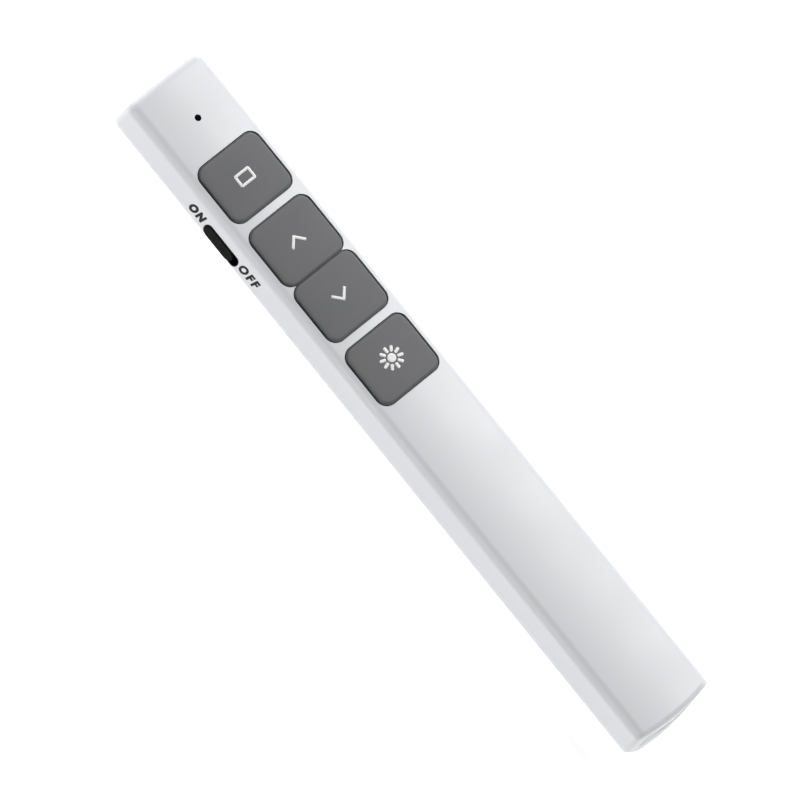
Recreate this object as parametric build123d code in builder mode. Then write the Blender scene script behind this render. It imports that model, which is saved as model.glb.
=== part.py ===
"""Wireless presentation clicker: a slim bar with four square keys, a side ON/OFF slider, a
laser in the nose, an AAA cell under a tilting door and a USB receiver docked in the tail.

Frame, in millimetres: +Y points to the nose, +X to the right hand side seen from above, +Z up.
The clicker lies on its flat back, and the origin is under the middle of the body.
"""

import math
import os

from build123d import *

# ---------------------------------------------------------------- shells
wall = 1.4
top_crown = 0.7  # the crowned top is this much higher in the middle than at its corners
crown_to_waist = 8.25  # drop from the crown to where the leaning flanks and the belly would meet
waist_to_seam = 0.35  # the parting line lies this far below that
flank_lean = 10.0  # degrees that the flanks lean in towards the top
belly_lean = 35.0  # degrees that the belly leans in towards the flat back
waist_radius = 3.0
shoulder_radius = 2.2
belly_radius = 3.0
nose_rounding_step = 0.7  # the nose is rounded this much tighter than the shoulders
tail_rounding = 1.1
tail_bow = 1.25  # the tail face bulges this much in the middle
tail_rake = 1.65  # and its top is this much further forward than its foot
tail_foot = 3.3  # height at which the tail is longest
lip_thickness = 0.6
lip_height = 0.9
fit_gap = 0.05
overrun = 3.0  # how far a cutter runs past what it cuts

# ---------------------------------------------------------------- keys
window_length = 13.1
window_corner = 2.4
window_margin = 2.55  # shell left on each side of a window
rib_width = 1.65  # bar of the shell between the outer keys and the middle pair
pair_overlap = 0.1  # the windows of the middle pair run into each other by this much
key_gap = 0.4  # between a key and its window
joint_gap = 0.16  # between the two keys of the middle pair
key_proud = 0.3
key_edge = 0.3
key_skin = 1.2
key_wall = 0.9
key_travel = 0.35
key_stem = 4.0
key_web = 0.8
ceiling_drop = 2.2  # flat underside of the shell round the windows, below the crown
key_foot_drop = 3.1  # open underside of a key, below the crown
plunger_drop = 3.2  # top of a switch's plunger, below the crown
flange_reach = 0.65
flange_thickness = 0.7
flange_length = 9.0

# ---------------------------------------------------------------- circuit board
board_thickness = 1.0
board_corner = 1.0
board_nose_margin = 4.35  # board in front of the first window
board_tail_margin = 0.05  # board behind the last one
board_side_gap = 0.5
switch_side = 6.0
switch_height = 3.5
switch_edge = 0.25
plunger_diameter = 3.4
plunger_proud = 0.7
plunger_depth = 1.9
board_screw_shank = 1.6
board_screw_reach = 3.6
board_screw_head = 3.0
board_screw_head_height = 1.0
board_screw_inset = 2.8  # from the board's long edge
board_boss = 3.6
thread_gap = 0.02
rib_thickness = 1.0
rib_inset = 1.5  # the board's long edges overhang its ribs by this much
chip_side = 5.0
chip_height = 0.9
chip_inset = 3.7
crystal_length = 3.2
crystal_width = 2.5
crystal_height = 0.8
antenna_length = 5.0
antenna_width = 2.0

# ---------------------------------------------------------------- on/off slider
slot_shift = 0.55  # the slot is this far in front of the bar between the first two keys
slot_length = 9.35
slot_height = 3.3
slot_above_board = 1.4
slider_length = 7.95
slider_proud = 0.3
slider_ridges = 7
ridge_pitch = 0.85
ridge_cut = 0.35  # width of the grooves between the ridges
ridge_depth = 0.12
slider_flange_depth = 2.3  # from the body's widest line to the flange
slider_flange_thickness = 0.5
slider_flange_overhang = 0.8
lever_side = 1.4
lever_length = 2.8
lever_grip = 1.1  # how far the lever stands in the slider
slide_switch_depth = 3.6
slide_switch_length = 8.6
slide_switch_height = 3.0

# ---------------------------------------------------------------- nose
led_setback = 9.7  # indicator hole, behind the nose
led_hole = 1.3
led_length = 2.0
led_width = 1.2
led_height = 0.8
guide_side = 1.2
laser_diameter = 5.8
laser_length = 10.0
laser_bore = 4.4
laser_aperture = 2.6
laser_guide_gap = 0.2
saddle_wall = 1.3
saddle_drop = 1.2  # the saddles end this far below the laser's axis
laser_board_side = 5.0
laser_board_thickness = 0.8
lens_setback = 1.0
lens_thickness = 1.4
window_disc = 5.0
window_thickness = 0.8
board_end_gap = 0.4

# ---------------------------------------------------------------- battery, AAA
cell_diameter = 10.4
cell_length = 44.5
cell_nub_diameter = 3.8
cell_nub = 0.8
cell_edge = 0.4
cell_headroom = 0.75
tray_side_gap = 1.0
tray_wall = 0.8
tray_depth = 6.1  # height of the tray's walls above the shell's floor
contact_thickness = 0.3
contact_side = 8.0
spring_room = 2.4
leaf_width = 4.5
leaf_thickness = 0.25
door_gap = 0.1
door_tab_x = 4.2
door_tab_width = 2.4
door_tab_reach = 1.3
door_tab_root = 1.5
door_tab_thickness = 0.75
door_tab_slot = 1.4  # height of the slot that a tab swings up through
groove_count = 4
groove_pitch = 1.6
groove_width = 0.7
groove_length = 7.0
groove_depth = 0.35

# ---------------------------------------------------------------- shell screws
screw_shank = 1.96
screw_pilot = 2.0
screw_head = 3.6
screw_head_height = 1.2
screw_length = 6.0
screw_sink = 0.4
screw_pad = 3.2  # height of the pads that the screws pull on
cross_length = 2.0
cross_width = 0.5
cross_depth = 0.7
boss_diameter = 4.2
boss_board_gap = 0.9
boss_tray_gap = 0.3
boss_end_gap = 0.1

# ---------------------------------------------------------------- USB receiver
plug_width = 12.0
plug_height = 4.5
plug_length = 11.8
plug_sheet = 0.3
grip_margin = 0.8  # the grip is this much wider than the plug on each side
grip_height = 6.0
grip_length = 5.9
grip_corner = 1.0
nail_depth = 0.5
nail_length = 8.0
nail_width = 0.9
dock_wall = 0.7
dock_gap = 0.1
flank_room = 1.1  # between the dock and the shell's flank
receiver_lift = 0.9  # the receiver lies this far above half the body's height
tongue_side_gap = 0.5
tongue_thickness = 1.9
tongue_setback = 0.6
contact_strips = 4
strip_pitch = 2.3
strip_width = 1.1
strip_length = 8.0
strip_thickness = 0.12

# ---------------------------------------------------------------- sizes that follow
# Across: the receiver's dock sets the width. Up: the cell sets the height.
grip_width = plug_width + 2 * grip_margin
receiver_length = grip_length + plug_length
body_width = grip_width + 2 * (dock_gap + dock_wall + wall + flank_room)
body_height = 2 * wall + fit_gap + cell_diameter + cell_headroom
window_width = body_width - 2 * window_margin
nose_rounding = shoulder_radius - nose_rounding_step
waist_height = body_height - crown_to_waist
seam_height = waist_height - waist_to_seam
key_ceiling = body_height - ceiling_drop
key_foot = body_height - key_foot_drop
plunger_top = body_height - plunger_drop
board_top = plunger_top - plunger_proud - switch_height
board_half_width = body_width / 2 - wall - board_side_gap
board_screw_x = board_half_width - board_screw_inset
slot_z = board_top + slot_above_board
guide_low = body_height - wall - dock_gap - guide_side
laser_z = guide_low - laser_guide_gap - laser_diameter / 2
cell_z = wall + fit_gap + cell_diameter / 2
tray_half_width = cell_diameter / 2 + tray_side_gap
tray_top = wall + tray_depth
receiver_z = body_height / 2 + receiver_lift
slider_travel = slot_length - slider_length - 2 * fit_gap
slider_flange_face = body_width / 2 - slider_flange_depth
slider_flange_back = slider_flange_face - slider_flange_thickness
slide_switch_face = slider_flange_back - door_gap

# Along: laser, board, cell and receiver lie one behind the other and set the length.
windows_span = 4 * window_length + 2 * rib_width - pair_overlap
board_length = board_nose_margin + windows_span + board_tail_margin
tray_length = contact_thickness + cell_length + spring_room + contact_thickness
laser_stack = wall + laser_length + laser_board_thickness + board_end_gap
front_boss_stack = boss_board_gap + boss_diameter + boss_tray_gap
rear_boss_stack = boss_end_gap + boss_diameter + boss_end_gap
dock_stack = dock_wall + dock_gap + receiver_length
body_length = (
    laser_stack
    + board_length
    + front_boss_stack
    + tray_wall
    + tray_length
    + tray_wall
    + rear_boss_stack
    + dock_stack
)
nose_y = body_length / 2
tail_y = -body_length / 2
laser_tail = nose_y - wall - laser_length
board_nose = nose_y - laser_stack
board_tail = board_nose - board_length
front_screw_y = board_tail - boss_board_gap - boss_diameter / 2
tray_nose = front_screw_y - boss_diameter / 2 - boss_tray_gap - tray_wall
tray_tail = tray_nose - tray_length
rear_screw_y = tray_tail - tray_wall - boss_end_gap - boss_diameter / 2
screw_places = [(0.0, front_screw_y), (0.0, rear_screw_y)]
receiver_nose = tail_y + receiver_length
led_y = nose_y - led_setback
led_board_y = board_nose - led_length / 2

# The first and last keys stand one bar away from the pair in the middle.
pair_middle = board_nose - board_nose_margin - windows_span / 2
pair_step = (window_length - pair_overlap) / 2
outer_step = pair_step + window_length + rib_width
key_places = {
    "fullscreen": pair_middle + outer_step,
    "previous": pair_middle + pair_step,
    "next": pair_middle - pair_step,
    "laser": pair_middle - outer_step,
}
front_bar = (key_places["fullscreen"] + key_places["previous"]) / 2
rear_bar = (key_places["next"] + key_places["laser"]) / 2
slot_middle = front_bar + slot_shift
slider_y = slot_middle + slider_travel / 2
board_screw_places = [(board_screw_x, front_bar), (board_screw_x, rear_bar)]

os.makedirs("parts", exist_ok=True)


def save(piece: BuildPart, name: str) -> None:
    """Label one finished piece and write it as its own STEP file."""
    piece.part.label = name
    export_step(piece.part, f"parts/{name}.step")


# The waist circle touches both leaning lines, so its vertex stands outside the true width.
half_turn = math.radians((flank_lean + belly_lean) / 2)
waist_slant = math.radians((belly_lean - flank_lean) / 2)
waist_x = body_width / 2 - waist_radius + waist_radius * math.cos(waist_slant) / math.cos(half_turn)
corner_z = body_height - top_crown
corner_x = waist_x - (corner_z - waist_height) * math.tan(math.radians(flank_lean))
back_x = waist_x - waist_height * math.tan(math.radians(belly_lean))


def tail_cutter(shift: float) -> Part:
    """Solid that trims the tail to its raked, bowed face, moved forward by shift."""
    reach = body_width
    bow = tail_bow * (reach / (body_width / 2)) ** 2
    shift -= tail_rake * (tail_foot + overrun) / body_height
    with BuildPart() as cutter:
        with BuildSketch(Plane.XY.offset(-overrun)):
            with BuildLine():
                ThreePointArc(
                    (-reach, tail_y + shift + bow),
                    (0, tail_y + shift),
                    (reach, tail_y + shift + bow),
                )
                Polyline(
                    (reach, tail_y + shift + bow),
                    (reach, tail_y - reach),
                    (-reach, tail_y - reach),
                    (-reach, tail_y + shift + bow),
                )
            make_face()
        extrude(amount=body_height + 3 * overrun, dir=(0, tail_rake / body_height, 1))
    return cutter.part


def body_form(inset: float, rounded: bool = False) -> Part:
    """The whole body as one solid, with every surface moved inwards by inset."""
    with BuildPart() as form:
        with BuildSketch(Plane.XZ.offset(inset - nose_y)) as section:
            with BuildLine():
                Polyline(
                    (-corner_x, corner_z),
                    (-waist_x, waist_height),
                    (-back_x, 0),
                    (back_x, 0),
                    (waist_x, waist_height),
                    (corner_x, corner_z),
                )
                ThreePointArc((corner_x, corner_z), (0, body_height), (-corner_x, corner_z))
            make_face()
            fillet(section.vertices().group_by(Axis.Y)[-1], shoulder_radius)
            fillet(section.vertices().group_by(Axis.Y)[0], belly_radius)
            waist = section.vertices().filter_by(
                lambda v: abs(abs(v.X) - waist_x) < 0.01
            )
            fillet(waist, waist_radius)
            if inset:
                offset(amount=-inset, mode=Mode.REPLACE)
        extrude(amount=body_length + overrun)
        add(tail_cutter(inset), mode=Mode.SUBTRACT)
        if rounded:
            fillet(form.faces().sort_by(Axis.Y)[-1].edges(), nose_rounding)
            fillet(form.faces().sort_by(Axis.Y)[0].edges(), tail_rounding)
    return form.part


def slab(
    low: float, high: float, tail: float, nose: float, half_width: float = body_width
) -> Part:
    """Plain block between two heights and two places along the bar."""
    with BuildPart() as block:
        with BuildSketch(Plane.XY.offset(low)):
            with Locations((0, (tail + nose) / 2)):
                Rectangle(2 * half_width, nose - tail)
        extrude(amount=high - low)
    return block.part


def tube(width: float, height: float, corner: float, tail: float, nose: float) -> Part:
    """Rounded bar along Y, centred on the receiver, between two places along the body."""
    with BuildPart() as bar:
        with BuildSketch(Plane.XZ.offset(-nose)):
            with Locations((0, receiver_z)):
                RectangleRounded(width, height, corner)
        extrude(amount=nose - tail)
    return bar.part


outer_form = body_form(0, rounded=True)
cavity_form = body_form(wall)
groove_form = body_form(wall - lip_thickness - fit_gap)
lip_form = body_form(wall - lip_thickness)
key_crown_form = body_form(-key_proud)
slider_crown_form = body_form(-slider_proud)
ridge_floor_form = body_form(ridge_depth - slider_proud)
contents_form = body_form(wall + dock_gap)

dock_tail = tail_y + wall + dock_gap
bay_mouth = tube(
    grip_width + 2 * dock_gap,
    grip_height + 2 * dock_gap,
    grip_corner + dock_gap,
    tail_y - overrun,
    dock_tail + tail_bow + tail_rake,
)

# ---------------------------------------------------------------- upper shell
with BuildPart() as upper_shell:
    add(outer_form)
    split(bisect_by=Plane.XY.offset(seam_height), keep=Keep.TOP)
    add(cavity_form, mode=Mode.SUBTRACT)
    # rebate for the lip of the lower shell
    add(
        groove_form & slab(0, seam_height + lip_height + fit_gap, tail_y, nose_y),
        mode=Mode.SUBTRACT,
    )
    # flat ceiling round the key windows, which the key flanges bear on
    add(
        lip_form
        & slab(
            key_ceiling,
            body_height,
            key_places["laser"] - window_length / 2 - rib_width,
            key_places["fullscreen"] + window_length / 2 + rib_width,
        )
    )
    # windows, the two middle ones run together
    with BuildSketch(Plane.XY.offset(key_ceiling - overrun)):
        with Locations(*[(0, y) for y in key_places.values()]):
            RectangleRounded(window_width, window_length, window_corner)
    extrude(amount=body_height, mode=Mode.SUBTRACT)
    # slot of the slider in the left flank
    with BuildSketch(Plane.YZ.offset(-body_width)):
        with Locations((slot_middle, slot_z)):
            SlotOverall(slot_length, slot_height)
    extrude(amount=body_width, mode=Mode.SUBTRACT)
    # indicator hole
    with Locations(Location((0, led_y, body_height + overrun))):
        Hole(led_hole / 2, depth=overrun + 2 * wall)
    # laser port: a recess for the window and a smaller aperture behind it
    with BuildSketch(Plane.XZ.offset(-nose_y)):
        with Locations((0, laser_z)):
            Circle(window_disc / 2 + fit_gap)
    extrude(amount=window_thickness, mode=Mode.SUBTRACT)
    with BuildSketch(Plane.XZ.offset(-nose_y)):
        with Locations((0, laser_z)):
            Circle(laser_aperture / 2)
    extrude(amount=2 * wall, mode=Mode.SUBTRACT)
    # screw bosses hang from the ceiling
    with BuildSketch(Plane.XY.offset(screw_pad)):
        with Locations(*screw_places):
            Circle(boss_diameter / 2)
    extrude(amount=body_height - wall / 2 - screw_pad)
    with BuildSketch(Plane.XY.offset(screw_pad)):
        with Locations(*screw_places):
            Circle(screw_pilot / 2)
    extrude(amount=screw_length, mode=Mode.SUBTRACT)
    # mouth of the receiver bay
    add(bay_mouth, mode=Mode.SUBTRACT)
save(upper_shell, "upper_shell")

# ---------------------------------------------------------------- lower shell
with BuildPart() as lower_shell:
    add(outer_form)
    split(bisect_by=Plane.XY.offset(seam_height), keep=Keep.BOTTOM)
    add(lip_form & slab(seam_height, seam_height + lip_height, tail_y, nose_y))
    add(cavity_form, mode=Mode.SUBTRACT)
    # opening of the battery bay
    add(
        slab(-overrun, seam_height, tray_tail, tray_nose, tray_half_width),
        mode=Mode.SUBTRACT,
    )
    # battery tray: a wall all round the bay
    tray_outside = slab(
        wall / 2,
        tray_top,
        tray_tail - tray_wall,
        tray_nose + tray_wall,
        tray_half_width + tray_wall,
    )
    tray_inside = slab(-overrun, tray_top + overrun, tray_tail, tray_nose, tray_half_width)
    add(outer_form & (tray_outside - tray_inside))
    # slots for the two tabs of the battery door
    with BuildSketch(Plane.XY.offset(wall)):
        with Locations(*[(side * door_tab_x, tray_nose + tray_wall / 2) for side in (-1, 1)]):
            Rectangle(door_tab_width + 2 * door_gap, 2 * tray_wall)
    extrude(amount=door_tab_slot, mode=Mode.SUBTRACT)
    # ribs that carry the circuit board, and the bosses of its screws
    for rib_y in (board_tail + 2 * rib_thickness, pair_middle, board_nose - 3 * rib_thickness):
        rib = slab(
            wall / 2,
            board_top - board_thickness,
            rib_y,
            rib_y + rib_thickness,
            board_half_width - rib_inset,
        )
        add(outer_form & rib)
    with BuildSketch(Plane.XY.offset(wall)):
        with Locations(*board_screw_places):
            Circle(board_boss / 2)
    extrude(amount=board_top - board_thickness - wall)
    with BuildSketch(Plane.XY.offset(board_top - board_screw_reach - thread_gap)):
        with Locations(*board_screw_places):
            Circle(board_screw_shank / 2 + thread_gap)
    extrude(amount=board_top, mode=Mode.SUBTRACT)
    # saddles of the laser barrel
    for saddle_y in (laser_tail + rib_thickness, laser_tail + laser_length - 2 * rib_thickness):
        add(
            slab(
                wall / 2,
                laser_z - saddle_drop,
                saddle_y,
                saddle_y + rib_thickness,
                laser_diameter / 2 + saddle_wall,
            )
        )
    with BuildSketch(Plane.XZ.offset(-laser_tail - laser_length)):
        with Locations((0, laser_z)):
            Circle(laser_diameter / 2)
    extrude(amount=laser_length, mode=Mode.SUBTRACT)
    # shelf under the receiver dock
    for shelf_y in (dock_tail + 2 * rib_thickness, receiver_nose - 3 * rib_thickness):
        add(
            slab(
                wall / 2,
                receiver_z - grip_height / 2 - dock_gap - dock_wall,
                shelf_y,
                shelf_y + rib_thickness,
                plug_width / 2,
            )
        )
    # pads and counterbores of the shell screws
    with BuildSketch(Plane.XY.offset(wall / 2)):
        with Locations(*screw_places):
            Circle(boss_diameter / 2)
    extrude(amount=screw_pad - wall / 2)
    with Locations(*[Location((x, y, 0), (180, 0, 0)) for x, y in screw_places]):
        CounterBoreHole(
            screw_pilot / 2 + door_gap,
            screw_head / 2 + door_gap,
            screw_sink + screw_head_height,
            depth=screw_pad + overrun,
        )
    # mouth of the receiver bay
    add(bay_mouth, mode=Mode.SUBTRACT)
save(lower_shell, "lower_shell")

# ---------------------------------------------------------------- shell screws
with BuildPart() as shell_screws:
    with BuildSketch(Plane.XY.offset(screw_sink)):
        with Locations(*screw_places):
            Circle(screw_head / 2)
    extrude(amount=screw_head_height)
    with BuildSketch(Plane.XY.offset(screw_sink + screw_head_height)):
        with Locations(*screw_places):
            Circle(screw_shank / 2)
    extrude(amount=screw_length)
    # cross recess in each head
    with BuildSketch(Plane.XY.offset(screw_sink)):
        with Locations(*screw_places):
            Rectangle(cross_length, cross_width)
            Rectangle(cross_width, cross_length)
    extrude(amount=cross_depth, mode=Mode.SUBTRACT)
save(shell_screws, "shell_screws")

# ---------------------------------------------------------------- circuit board
with BuildPart() as main_board:
    with BuildSketch(Plane.XY.offset(board_top - board_thickness)):
        with Locations((0, (board_tail + board_nose) / 2)):
            RectangleRounded(2 * board_half_width, board_length, board_corner)
        with Locations(*board_screw_places):
            Circle(board_screw_shank / 2 + thread_gap, mode=Mode.SUBTRACT)
        # notch that the flange of the slider runs in
        with Locations((-board_half_width, slot_middle)):
            Rectangle(
                2 * (board_half_width - slider_flange_back + door_gap),
                slot_length + 3 * slider_flange_overhang,
                mode=Mode.SUBTRACT,
            )
    extrude(amount=board_thickness)
save(main_board, "main_board")

with BuildPart() as board_screws:
    with BuildSketch(Plane.XY.offset(board_top)):
        with Locations(*board_screw_places):
            Circle(board_screw_head / 2)
    extrude(amount=board_screw_head_height)
    with BuildSketch(Plane.XY.offset(board_top - board_screw_reach)):
        with Locations(*board_screw_places):
            Circle(board_screw_shank / 2)
    extrude(amount=board_screw_reach)
save(board_screws, "board_screws")

with BuildPart() as radio_chip:
    with BuildSketch(Plane.XY.offset(board_top)):
        with Locations((chip_inset - board_half_width, pair_middle)):
            Rectangle(chip_side, chip_side)
    extrude(amount=chip_height)
    chamfer(radio_chip.edges().filter_by(Axis.Z).sort_by(Axis.Y)[0], chip_side / 10)
save(radio_chip, "radio_chip")

with BuildPart() as crystal:
    with BuildSketch(Plane.XY.offset(board_top)):
        with Locations((crystal_length, pair_middle)):
            Rectangle(crystal_length, crystal_width)
    extrude(amount=crystal_height)
save(crystal, "crystal")

with BuildPart() as antenna:
    with BuildSketch(Plane.XY.offset(board_top)):
        with Locations((chip_inset - board_half_width, board_tail + antenna_width)):
            Rectangle(antenna_length, antenna_width)
    extrude(amount=chip_height)
save(antenna, "antenna")

# ---------------------------------------------------------------- keys and their switches
cap_width = window_width - 2 * key_gap
skin_foot = body_height + key_proud - top_crown - key_skin
bore_foot = board_top + switch_height - plunger_depth
plunger_foot = bore_foot + key_travel + fit_gap
flange_top = key_ceiling - fit_gap
flange_foot = flange_top - flange_thickness

for key_name, key_y in key_places.items():
    cap_tail = key_y - window_length / 2 + key_gap
    cap_nose = key_y + window_length / 2 - key_gap
    if key_name == "previous":
        cap_tail = pair_middle + joint_gap / 2
    if key_name == "next":
        cap_nose = pair_middle - joint_gap / 2
    cap_y = (cap_tail + cap_nose) / 2
    cap_length = cap_nose - cap_tail

    with BuildPart() as switch_body:
        with BuildSketch(Plane.XY.offset(board_top)):
            with Locations((0, key_y)):
                Rectangle(switch_side, switch_side)
        extrude(amount=switch_height)
        chamfer(switch_body.faces().sort_by(Axis.Z)[-1].edges(), switch_edge)
        with BuildSketch(Plane.XY.offset(bore_foot)):
            with Locations((0, key_y)):
                Circle(plunger_diameter / 2 + fit_gap)
        extrude(amount=switch_height, mode=Mode.SUBTRACT)
    save(switch_body, f"switch_{key_name}")

    with BuildPart() as plunger:
        with BuildSketch(Plane.XY.offset(plunger_foot)):
            with Locations((0, key_y)):
                Circle(plunger_diameter / 2)
        extrude(amount=plunger_top - plunger_foot)
        chamfer(plunger.faces().sort_by(Axis.Z)[-1].edges(), switch_edge)
    save(plunger, f"plunger_{key_name}")

    with BuildPart() as key:
        with BuildSketch(Plane.XY.offset(key_foot)):
            with Locations((0, cap_y)):
                RectangleRounded(cap_width, cap_length, window_corner - key_gap)
        extrude(amount=body_height)
        add(key_crown_form, mode=Mode.INTERSECT)
        chamfer(key.faces().sort_by(Axis.Z)[-1].edges(), key_edge)
        # hollow underside
        with BuildSketch(Plane.XY.offset(key_foot)):
            with Locations((0, cap_y)):
                Rectangle(cap_width - 2 * key_wall, cap_length - 2 * key_wall)
        extrude(amount=skin_foot - key_foot, mode=Mode.SUBTRACT)
        # stem that presses the switch, and the web that stiffens the skin
        with BuildSketch(Plane.XY.offset(plunger_top)):
            with Locations((0, key_y)):
                Circle(key_stem / 2)
        extrude(amount=skin_foot - plunger_top)
        with BuildSketch(Plane.XY.offset(key_foot)):
            with Locations((0, key_y)):
                Rectangle(cap_width - key_wall, key_web)
        extrude(amount=skin_foot - key_foot)
        # flanges that keep the key in its window, trimmed clear of the leaning walls
        flange_span = (flange_foot, flange_top, key_y - flange_length / 2, key_y + flange_length / 2)
        flanges = slab(*flange_span, cap_width / 2 + flange_reach)
        add(contents_form & (flanges - slab(*flange_span, (cap_width - key_wall) / 2)))
    save(key, f"key_{key_name}")

# ---------------------------------------------------------------- on/off slider
lever_end = slider_flange_face + lever_grip
with BuildPart() as slide_switch:
    with BuildSketch(Plane.XY.offset(board_top)):
        with Locations((slide_switch_depth / 2 - slide_switch_face, slot_middle)):
            Rectangle(slide_switch_depth, slide_switch_length)
    extrude(amount=slide_switch_height)
    # slot that the lever runs in
    with BuildSketch(Plane.YZ.offset(-slide_switch_face)):
        with Locations((slot_middle, slot_z)):
            Rectangle(lever_side + slider_travel + 2 * fit_gap, lever_side + 2 * fit_gap)
    extrude(amount=lever_length - lever_end + slide_switch_face + fit_gap, mode=Mode.SUBTRACT)
save(slide_switch, "slide_switch")

with BuildPart() as switch_lever:
    with BuildSketch(Plane.YZ.offset(-lever_end)):
        with Locations((slider_y, slot_z)):
            Rectangle(lever_side, lever_side)
    extrude(amount=lever_length)
save(switch_lever, "switch_lever")

with BuildPart() as on_off_slider:
    with BuildSketch(Plane.YZ.offset(-body_width)):
        with Locations((slider_y, slot_z)):
            SlotOverall(slider_length, slot_height - 2 * fit_gap)
    extrude(amount=body_width - slider_flange_face)
    add(slider_crown_form, mode=Mode.INTERSECT)
    # finger ridges, left between grooves of an even depth across the leaning face
    with BuildPart(mode=Mode.PRIVATE) as grooves:
        with BuildSketch(Plane.XY.offset(slot_z - slot_height)):
            with Locations((-body_width / 2, slider_y)):
                with GridLocations(1, ridge_pitch, 1, slider_ridges):
                    Rectangle(2 * slider_flange_depth, ridge_cut)
        extrude(amount=2 * slot_height)
        add(ridge_floor_form, mode=Mode.SUBTRACT)
    add(grooves, mode=Mode.SUBTRACT)
    # flange behind the shell wall
    with BuildSketch(Plane.YZ.offset(-slider_flange_face)):
        with Locations((slider_y, slot_z)):
            RectangleRounded(
                slider_length + 2 * slider_flange_overhang,
                slot_height + slider_flange_overhang,
                slider_flange_overhang,
            )
    extrude(amount=slider_flange_thickness)
    # socket for the lever of the switch
    with BuildSketch(Plane.YZ.offset(-lever_end)):
        with Locations((slider_y, slot_z)):
            Rectangle(lever_side, lever_side)
    extrude(amount=lever_length, mode=Mode.SUBTRACT)
save(on_off_slider, "on_off_slider")

# ---------------------------------------------------------------- indicator
with BuildPart() as indicator_led:
    with BuildSketch(Plane.XY.offset(board_top)):
        with Locations((0, led_board_y)):
            Rectangle(led_length, led_width)
    extrude(amount=led_height)
save(indicator_led, "indicator_led")

with BuildPart() as light_guide:
    # foot over the LED, arm forward under the ceiling, tip in the hole
    with BuildSketch(Plane.XY.offset(board_top + led_height)):
        with Locations((0, led_board_y)):
            Rectangle(guide_side, guide_side)
    extrude(amount=guide_low + guide_side - board_top - led_height)
    add(
        slab(
            guide_low,
            guide_low + guide_side,
            led_board_y - guide_side / 2,
            led_y + guide_side / 2,
            guide_side / 2,
        )
    )
    with BuildSketch(Plane.XY.offset(guide_low)):
        with Locations((0, led_y)):
            Circle(led_hole / 2 - fit_gap)
    extrude(amount=body_height - dock_gap - guide_low)
save(light_guide, "light_guide")

# ---------------------------------------------------------------- laser
laser_nose = laser_tail + laser_length
with BuildPart() as laser_barrel:
    with BuildSketch(Plane.XZ.offset(-laser_nose)):
        with Locations((0, laser_z)):
            Circle(laser_diameter / 2)
    extrude(amount=laser_length)
    # seat of the lens
    with BuildSketch(Plane.XZ.offset(-laser_nose)):
        with Locations((0, laser_z)):
            Circle(laser_bore / 2)
    extrude(amount=lens_setback + lens_thickness, mode=Mode.SUBTRACT)
    chamfer(laser_barrel.edges().sort_by(Axis.Y)[-1], fit_gap * 4)
save(laser_barrel, "laser_barrel")

with BuildPart() as laser_lens:
    with BuildSketch(Plane.XZ.offset(lens_setback - laser_nose)):
        with Locations((0, laser_z)):
            Circle(laser_bore / 2)
    extrude(amount=lens_thickness)
    chamfer(laser_lens.edges().sort_by(Axis.Y)[-1], lens_thickness / 3)
save(laser_lens, "laser_lens")

with BuildPart() as laser_board:
    with BuildSketch(Plane.XZ.offset(-laser_tail)):
        with Locations((0, laser_z)):
            Rectangle(laser_board_side, laser_board_side)
    extrude(amount=laser_board_thickness)
save(laser_board, "laser_board")

with BuildPart() as laser_window:
    with BuildSketch(Plane.XZ.offset(dock_gap - nose_y)):
        with Locations((0, laser_z)):
            Circle(window_disc / 2)
    extrude(amount=window_thickness - dock_gap)
save(laser_window, "laser_window")

# ---------------------------------------------------------------- battery
plus_face = tray_nose - contact_thickness
minus_face = plus_face - cell_length
with BuildPart() as battery:
    with BuildSketch(Plane.XZ.offset(cell_nub - plus_face)):
        with Locations((0, cell_z)):
            Circle(cell_diameter / 2)
    extrude(amount=cell_length - cell_nub)
    chamfer(battery.edges().filter_by(GeomType.CIRCLE), cell_edge)
    with BuildSketch(Plane.XZ.offset(-plus_face)):
        with Locations((0, cell_z)):
            Circle(cell_nub_diameter / 2)
    extrude(amount=cell_nub)
save(battery, "battery")

with BuildPart() as contact_plate:
    with BuildSketch(Plane.XZ.offset(-tray_nose)):
        with Locations((0, cell_z)):
            Rectangle(contact_side, contact_side)
    extrude(amount=contact_thickness)
save(contact_plate, "contact_plate")

spring_foot = tray_tail + contact_thickness
leaf_half = contact_side / 2
with BuildPart() as contact_spring:
    with BuildSketch(Plane.XZ.offset(-spring_foot)):
        with Locations((0, cell_z)):
            Rectangle(contact_side, contact_side)
    extrude(amount=contact_thickness)
    # a leaf bows from the foot of the plate out to the cell and back to its head
    with BuildSketch(Plane.YZ):
        with BuildLine():
            ThreePointArc(
                (spring_foot, cell_z - leaf_half),
                (minus_face, cell_z),
                (spring_foot, cell_z + leaf_half),
            )
            Line((spring_foot, cell_z + leaf_half), (spring_foot, cell_z + leaf_half - 2 * leaf_thickness))
            ThreePointArc(
                (spring_foot, cell_z + leaf_half - 2 * leaf_thickness),
                (minus_face - leaf_thickness, cell_z),
                (spring_foot, cell_z - leaf_half + 2 * leaf_thickness),
            )
            Line((spring_foot, cell_z - leaf_half + 2 * leaf_thickness), (spring_foot, cell_z - leaf_half))
        make_face()
    extrude(amount=leaf_width / 2, both=True)
save(contact_spring, "contact_spring")

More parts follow.
